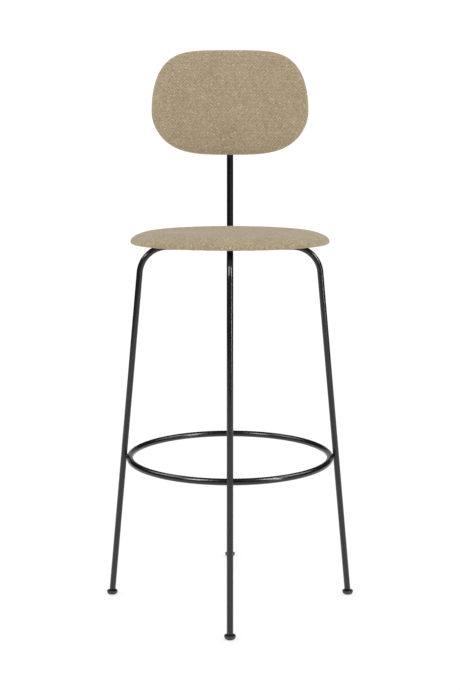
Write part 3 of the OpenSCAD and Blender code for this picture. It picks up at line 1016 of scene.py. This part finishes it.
@dataclass
class BackPad:
    """The backrest pad and the panel that closes its rear.

    Attributes:
        up: from the widest line to the top edge.
        down: from the widest line to the bottom edge.
        thickness: from the bracket to the front of the crown.
        crown: height of the crown on the front.
        edge: radius of the front edge.
        heel: radius of the rear edge.
        panel: thickness of the rear panel.
        bracket: thickness of the bracket behind it.
        lean: lean from upright.
        fill: how tight the pad is stuffed, from 0 to 1; not used.
        panel_gap: how much smaller the rear panel is than the pad's rear all round.
        powers: side and end powers of the outline, above and below the widest line.
        rings: grid rings from the middle to the edge.
    """

    up: float = 130 * MM
    down: float = 89 * MM
    thickness: float = 34 * MM
    crown: float = 5 * MM
    edge: float = 13 * MM
    heel: float = 5 * MM
    panel: float = 1.2 * MM
    bracket: float = 3 * MM
    lean: float = math.radians(4)
    fill: float = 0.85
    panel_gap: float = 0.5 * MM
    powers: tuple[tuple[float, float], tuple[float, float]] = ((4.6, 2.2), (3.6, 1.8))
    rings: int = 40

    def __post_init__(self) -> None:
        """Find the pad's own axes from the middle of the CAD bracket that it is screwed to."""
        low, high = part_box("back_cover")
        self.half_width = (high.x - low.x) / 2
        self.middle = box_centre("back_bracket")
        self.rear_gap = self.bracket / 2
        self.axes = Matrix.Rotation(-self.lean, 3, "X")

    def reach(self, angle: float) -> tuple[float, float]:
        """Return the outline's half width and height shares in a direction, found by halving."""
        side, end = self.powers[0] if math.sin(angle) >= 0 else self.powers[1]
        c, s = abs(math.cos(angle)), abs(math.sin(angle))
        near, far = 0.5, 1.5
        halvings = 40
        for _ in range(halvings):
            r = (near + far) / 2
            if (r * c) ** side + (r * s) ** end < 1:
                near = r
            else:
                far = r
        return near * math.cos(angle), near * math.sin(angle)

    def place(self, angle: float, at: Station) -> Vector:
        """Return the point at an angle and a station, in the frame's axes."""
        across, along = self.reach(angle)
        tall = self.up if along >= 0 else self.down
        local = Vector(((self.half_width - at.inset) * across * at.share, -at.depth,
                        (tall - at.inset) * along * at.share))
        return self.middle + self.axes @ local

    def build(self) -> list[bpy.types.Object]:
        """Build the pad and its rear panel.

        Returns:
            The pad's and the panel's objects.
        """
        rear = self.rear_gap + self.panel
        front = self.rear_gap + self.thickness
        face = front - self.crown
        # Each stretch is drawn more finely than the grid's rings are spaced
        bulge = [Station(self.edge, s, face + self.crown * (1 - s * s))
                 for s in np.linspace(0, 1, 300)]
        edge = [Station(self.edge * (1 - math.cos(a)), 1, face - self.edge + self.edge * math.sin(a))
                for a in np.linspace(QUARTER, 0, 80)]
        heel = [Station(self.heel * (1 - math.sin(a)), 1, rear + self.heel * (1 - math.cos(a)))
                for a in np.linspace(0, QUARTER, 40)]
        flat = [Station(self.heel, s, rear) for s in np.linspace(0, 1, 200)]
        middle = (face - self.edge + rear + self.heel) / 2
        mean = (self.half_width + self.up) / 2
        front_stations = spaced(bulge + edge + [Station(0, 1, middle)], self.rings + 1, mean)
        rear_stations = spaced(flat + heel + [Station(0, 1, middle)], self.rings + 1, mean)
        points, faces = quilt(front_stations, rear_stations, self.place)
        pad = new_piece(
            "back_pad", points, faces, BACK_CLOTH, Body.FRAME, ["back_cover", "back_foam"])
        back = self.axes.inverted()
        depths = np.array([-(back @ (p - self.middle)).y for p in points])
        Stuffing().swell(pad, (depths < rear + self.heel / 2).astype(float))
        subdivide(pad)
        return [pad, self.rear_panel()]

    def rear_panel(self) -> bpy.types.Object:
        """Build the panel with its turned-in edge.

        Returns:
            The panel's object.
        """
        outer = self.heel + self.panel_gap
        turn = self.panel / 2
        mean = (self.half_width + self.up) / 2
        sides = []
        for depth, way in ((self.rear_gap + self.panel, -1), (self.rear_gap, 1)):
            curve = [Station(outer + turn, s, depth) for s in np.linspace(0, 1, 100)]
            curve += [
                Station(outer + turn * (1 - math.sin(a)), 1, depth + way * turn * (1 - math.cos(a)))
                for a in np.linspace(0, QUARTER, 12)]
            sides.append(spaced(curve, self.rings + 1, mean))
        points, faces = quilt(*sides, self.place)
        return new_piece("back_panel", points, faces, BACK_CLOTH, Body.FRAME, ["back_rear_panel"])


# ---------------------------------------------------------------- feet


@dataclass
class Glides:
    """The four round glides: a cup with a flat sole and a collar that snaps over the ball.

    Attributes:
        sole: radius of the flat sole.
        rim_round: rounding of the rim.
        dish: radius of the hollow round the collar.
        dish_height: height of the hollow's floor.
        collar: outer radius of the collar.
        collar_height: height of the collar's top.
        collar_lip: bevel at the collar's top.
        ball: radius of the ball's socket.
        ball_height: height of the ball's centre.
        sides: facets round a glide.
    """

    sole: float = 6.4 * MM
    rim_round: float = 0.7 * MM
    dish: float = 7.4 * MM
    dish_height: float = 5.4 * MM
    collar: float = 4.8 * MM
    collar_height: float = 6.9 * MM
    collar_lip: float = 0.25 * MM
    ball: float = 3.55 * MM
    ball_height: float = 5 * MM
    sides: int = 96

    def outline(self, rim: float, height: float) -> list[tuple[float, float]]:
        """Draw half the glide's section, from the middle of the sole round to the socket's floor.

        Args:
            rim: outer radius of the rim.
            height: height of the rim.

        Returns:
            Pairs of radius and height.
        """
        side = height - 2 * self.rim_round
        arc = np.linspace(0, QUARTER, 12)
        bend = self.rim_round
        line = [(self.sole / 2, 0.0)]
        line += [(self.sole + (rim - self.sole) * math.sin(a), side * (1 - math.cos(a))) for a in arc]
        line += [(rim - bend * (1 - math.cos(a)), height - bend * (1 - math.sin(a))) for a in arc]
        line += [(self.dish + bend * (1 - math.sin(a)), height - bend * (1 - math.cos(a)))
                 for a in arc]
        line += [(self.dish, self.dish_height), (self.collar, self.dish_height)]
        line += [(self.collar, self.collar_height - self.collar_lip),
                 (self.collar - self.collar_lip, self.collar_height)]
        mouth = math.asin((self.collar_height - self.ball_height) / self.ball)
        line += [(self.ball * math.cos(a), self.ball_height + self.ball * math.sin(a))
                 for a in np.linspace(mouth, -QUARTER * 0.95, 24)]
        return line

    def build(self) -> list[bpy.types.Object]:
        """Build one glide for each CAD glide.

        Returns:
            The glides' objects.
        """
        made = []
        for body in (Body.RIGHT, Body.REAR, Body.LEFT, Body.FRONT):
            low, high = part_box(body.value)
            middle = (low + high) / 2
            rings = [
                [Vector((middle.x + r * math.cos(a), middle.y + r * math.sin(a), low.z + z))
                 for a in np.linspace(0, TURN, self.sides, endpoint=False)]
                for r, z in self.outline((high.x - low.x) / 2, high.z - low.z)]
            points, faces = skin(rings)
            made.append(new_piece(
                f"{body.value}_cup", points, faces, GLIDE_NYLON, body, [body.value]))
        return made


# ---------------------------------------------------------------- CAD nodes that stay


@dataclass
class Hardware:
    """CAD nodes whose shape is right: they stay and get a finish."""

    def finishes(self) -> dict[str, Finish]:
        """Return the finish of each node that stays."""
        return {
            "spine_cap": CAP_PLASTIC,
            "frame_welds": POWDER_COAT,
            "ring_welds": POWDER_COAT,
            "seat_mount_plate": POWDER_COAT,
            "back_bracket": POWDER_COAT,
            "seat_bolts": BLACK_OXIDE_STEEL,
            "back_screws": BLACK_OXIDE_STEEL,
            "seat_tee_nuts": ZINC_STEEL,
            "back_tee_nuts": ZINC_STEEL,
            "seat_staples": ZINC_STEEL,
            "ball_studs": ZINC_STEEL,
            "foot_inserts": GLIDE_NYLON,
            "seat_board": PLYWOOD,
            "back_board": PLYWOOD,
            "seat_underside_cloth": DUST_CLOTH,
        }

    def build(self) -> list[bpy.types.Object]:
        """Give each node its finish.

        Returns:
            The nodes' objects.
        """
        made = []
        for name, finish in self.finishes().items():
            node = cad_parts[name]
            if not node.material_slots:
                node.data.materials.append(None)
            for place in node.material_slots:
                place.material = finish.material()
            made.append(node)
        return made


# ---------------------------------------------------------------- studio


class StripLight(NamedTuple):
    """A strip light that shows only in gloss.

    Attributes:
        name: the light's name.
        turn: its direction from the camera's, positive to the right, in degrees.
        climb: its height above the stool's middle, in degrees.
        width: its width.
        height: its height.
        glow: its brightness.
    """

    name: str
    turn: float
    climb: float
    width: float
    height: float
    glow: float


STRIPS = (
    StripLight("right_strip", 53, 38, 0.45, 1.7, 26),
    StripLight("right_low_strip", 50, 3, 0.4, 0.55, 15),
    StripLight("left_strip", -43, 43, 0.8, 1.6, 16),
    StripLight("right_side_box", 98, 46, 1.5, 1.3, 5.5),
    StripLight("left_side_box", -98, 46, 1.5, 1.3, 5.5),
    StripLight("top_box", 0, 78, 2.6, 2.0, 0.2),
    StripLight("back_wash", 180, 4, 3.6, 0.8, 0.6))
# Stands in for the strips on the spine, which they would make too bright
SPINE_FILL = StripLight("spine_fill", 38, 6, 1.5, 2.2, 0.8)


@dataclass
class Studio:
    """A pale floor, a white surround, soft lights and the camera.

    Attributes:
        distance: from the camera to the stool's middle line.
        height: the camera's height.
        pitch: how far the camera looks down.
        lens: focal length for a picture 36 mm tall.
        film: height of the picture that the lens is given for, in millimetres.
        near_floor: half the side of the part of the floor that shows in gloss.
        far_floor: half the side of the whole floor.
        floor_gap: how far the floor lies below the glides, so that the two never flicker.
        floor_glow: brightness of the floor itself, which is lit through from below.
        floor_colour: colour of the floor without its glow.
        floor_roughness: roughness of the floor.
        surround_glow: brightness of the white surround.
        middle: height of the point that the strip lights face.
        strip_distance: from that point to each strip light.
        strips: the strip lights, once they hang.
    """

    distance: float = 2.475
    height: float = 0.907
    pitch: float = math.radians(8.895)
    lens: float = 65.3
    film: float = 36.0
    near_floor: float = 3.2
    far_floor: float = 20.0
    floor_gap: float = 0.2 * MM
    floor_glow: float = 0.66
    floor_colour: str = "#a4a4a4"
    floor_roughness: float = 0.9
    surround_glow: float = 1.06
    middle: float = 0.45
    strip_distance: float = 2.6
    strips: list[bpy.types.Object] = field(default_factory=list)

    def camera(self) -> None:
        """Place the camera in front of the stool."""
        data = bpy.data.cameras.new("camera")
        data.sensor_fit = "VERTICAL"
        data.sensor_height = self.film
        data.lens = self.lens
        eye = bpy.data.objects.new("camera", data)
        bpy.context.scene.collection.objects.link(eye)
        eye.location = (0, -self.distance, self.height)
        eye.rotation_euler = (QUARTER - self.pitch, 0, 0)
        bpy.context.scene.camera = eye

    def floor(self) -> None:
        """Lay the pale floor, of which only the near part shows in gloss."""
        paint = bpy.data.materials.new("studio_floor")
        paint.use_nodes = True
        shader = paint.node_tree.nodes["Principled BSDF"]
        set_inputs(paint.node_tree, shader, {
            "Base Color": linear(self.floor_colour), "Roughness": self.floor_roughness,
            "Specular IOR Level": 0.0, "Emission Color": linear("#ffffff"),
            "Emission Strength": self.floor_glow})
        for name, reach, depth in (("floor", self.near_floor, self.floor_gap),
                                   ("far_floor", self.far_floor, 2 * self.floor_gap)):
            mesh = bpy.data.meshes.new(name)
            corners = [(x * reach, y * reach, -depth)
                       for x, y in ((-1, -1), (1, -1), (1, 1), (-1, 1))]
            mesh.from_pydata(corners, [], [(0, 1, 2, 3)])
            mesh.materials.append(paint)
            sheet = bpy.data.objects.new(name, mesh)
            bpy.context.scene.collection.objects.link(sheet)
            sheet.visible_glossy = reach == self.near_floor

    def surround(self) -> None:
        """Light the studio evenly from all round.

        The surround is kept out of gloss, so that the black tubes reflect only the floor and the
        strip lights.
        """
        world = bpy.data.worlds.new("surround")
        world.use_nodes = True
        glow = world.node_tree.nodes["Background"]
        set_inputs(world.node_tree, glow, {
            "Color": linear("#ffffff"), "Strength": self.surround_glow})
        bpy.context.scene.world = world
        world.cycles_visibility.glossy = False

    def hang(self, strip: StripLight) -> bpy.types.Object:
        """Hang a strip light and face it to the stool's middle.

        Args:
            strip: the strip light.

        Returns:
            The light's object.
        """
        data = bpy.data.lights.new(strip.name, "AREA")
        data.shape = "RECTANGLE"
        data.size, data.size_y = strip.width, strip.height
        data.energy = strip.glow * math.pi * strip.width * strip.height
        light = bpy.data.objects.new(strip.name, data)
        bpy.context.scene.collection.objects.link(light)
        turn, climb = math.radians(strip.turn), math.radians(strip.climb)
        way = Vector((math.sin(turn) * math.cos(climb), -math.cos(turn) * math.cos(climb),
                      math.sin(climb)))
        light.location = Vector((0, 0, self.middle)) + way * self.strip_distance
        light.rotation_euler = way.to_track_quat("Z", "Y").to_euler()
        light.visible_diffuse = False
        light.visible_camera = False
        return light

    def light_apart(self, piece: bpy.types.Object) -> None:
        """Keep the strip lights off a piece, as a black flag does, and give it a wide dim fill.

        Args:
            piece: the piece that gets the fill.
        """
        for state, lights in (("EXCLUDE", self.strips), ("INCLUDE", [self.hang(SPINE_FILL)])):
            group = bpy.data.collections.new(state.lower())
            group.objects.link(piece)
            group.collection_objects[0].light_linking.link_state = state
            for light in lights:
                light.light_linking.receiver_collection = group

    def build(self) -> None:
        """Set up the whole studio."""
        self.camera()
        self.floor()
        self.surround()
        for light in STRIPS:
            self.strips.append(self.hang(light))
        bpy.context.scene.view_settings.view_transform = "Standard"


def main() -> None:
    """Build the studio and the stool, and report each piece."""
    logging.basicConfig(level=logging.INFO, format="%(message)s")
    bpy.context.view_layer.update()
    studio = Studio()
    studio.build()
    for assembly in (SteelFrame(), FootrestRing(), SeatPad(), BackPad(), Glides(), Hardware()):
        for piece in assembly.build():
            log.info("%s: %s, %d vertices",
                     type(assembly).__name__, piece.name, len(piece.data.vertices))
            if piece.name == "spine":
                studio.light_apart(piece)


if __name__ == "__main__":
    main()
